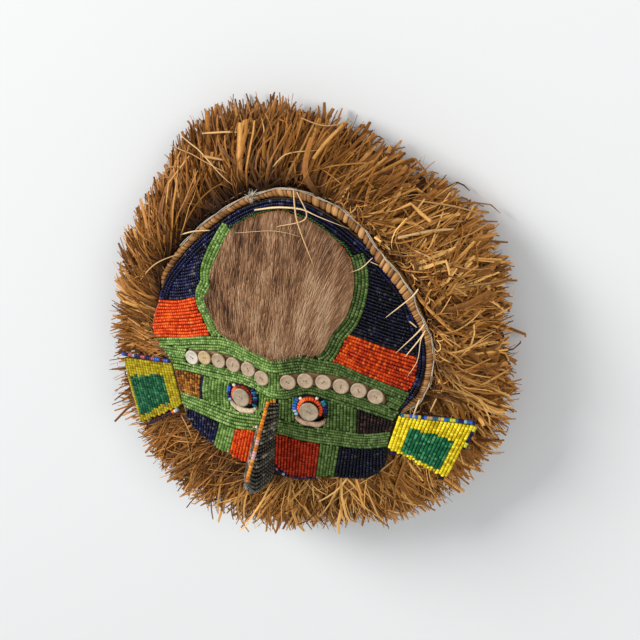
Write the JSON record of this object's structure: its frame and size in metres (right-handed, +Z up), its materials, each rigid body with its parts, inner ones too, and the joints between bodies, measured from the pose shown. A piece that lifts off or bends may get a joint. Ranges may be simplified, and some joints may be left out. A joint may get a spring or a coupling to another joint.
{
  "type": "beaded raffia mask",
  "caption": "Mask with a folded panel of bead rows, a hide forehead, beaded nose and ear flaps and button eyes, on a basketry ring with a thick raffia fringe.",
  "frame": {"origin": "middle of the underside, on the plane of the back rim", "axes": "+Z up out of the face as it lies on its back, +Y to the forehead, +X to the right as one looks at the face"},
  "size_m": [0.3072, 0.331, 0.1091],
  "materials": {
    "beadwork": "glossy opaque seed beads in couched rows, mostly green, with navy, orange and brown fields",
    "hide": "short-haired hide, brown with pale and dark hairs",
    "dark_beads": "dark grey glass seed beads with an amber ridge line",
    "ear_beads": "yellow beads round an emerald green field",
    "shell": "pale shirt buttons, satin, a little worn",
    "orange_beads": "orange beads with blue ones at the sides",
    "cloth": "rolled pale cotton cloth",
    "basketry": "coiled basketry wrapped with raffia",
    "raffia": "dry raffia strands, golden brown",
    "twine": "grey cotton twine"
  },
  "bodies": {
    "root": {"face_panel": "beadwork", "fur_patch": "hide", "nose": "dark_beads", "ear_left": "ear_beads", "ear_right": "ear_beads", "brow_button_left_1": "shell", "brow_button_left_2": "shell", "brow_button_left_3": "shell", "brow_button_left_4": "shell", "brow_button_left_5": "shell", "brow_button_left_6": "shell", "brow_button_right_1": "shell", "brow_button_right_2": "shell", "brow_button_right_3": "shell", "brow_button_right_4": "shell", "brow_button_right_5": "shell", "brow_button_right_6": "shell", "eye_disc_left": "orange_beads", "eye_button_left": "shell", "eyelid_left": "cloth", "eye_disc_right": "orange_beads", "eye_button_right": "shell", "eyelid_right": "cloth", "rim_hoop": "basketry", "basket_wall": "basketry", "raffia_fringe": "raffia", "binding_twine": "twine"}
  },
  "joints": []
}
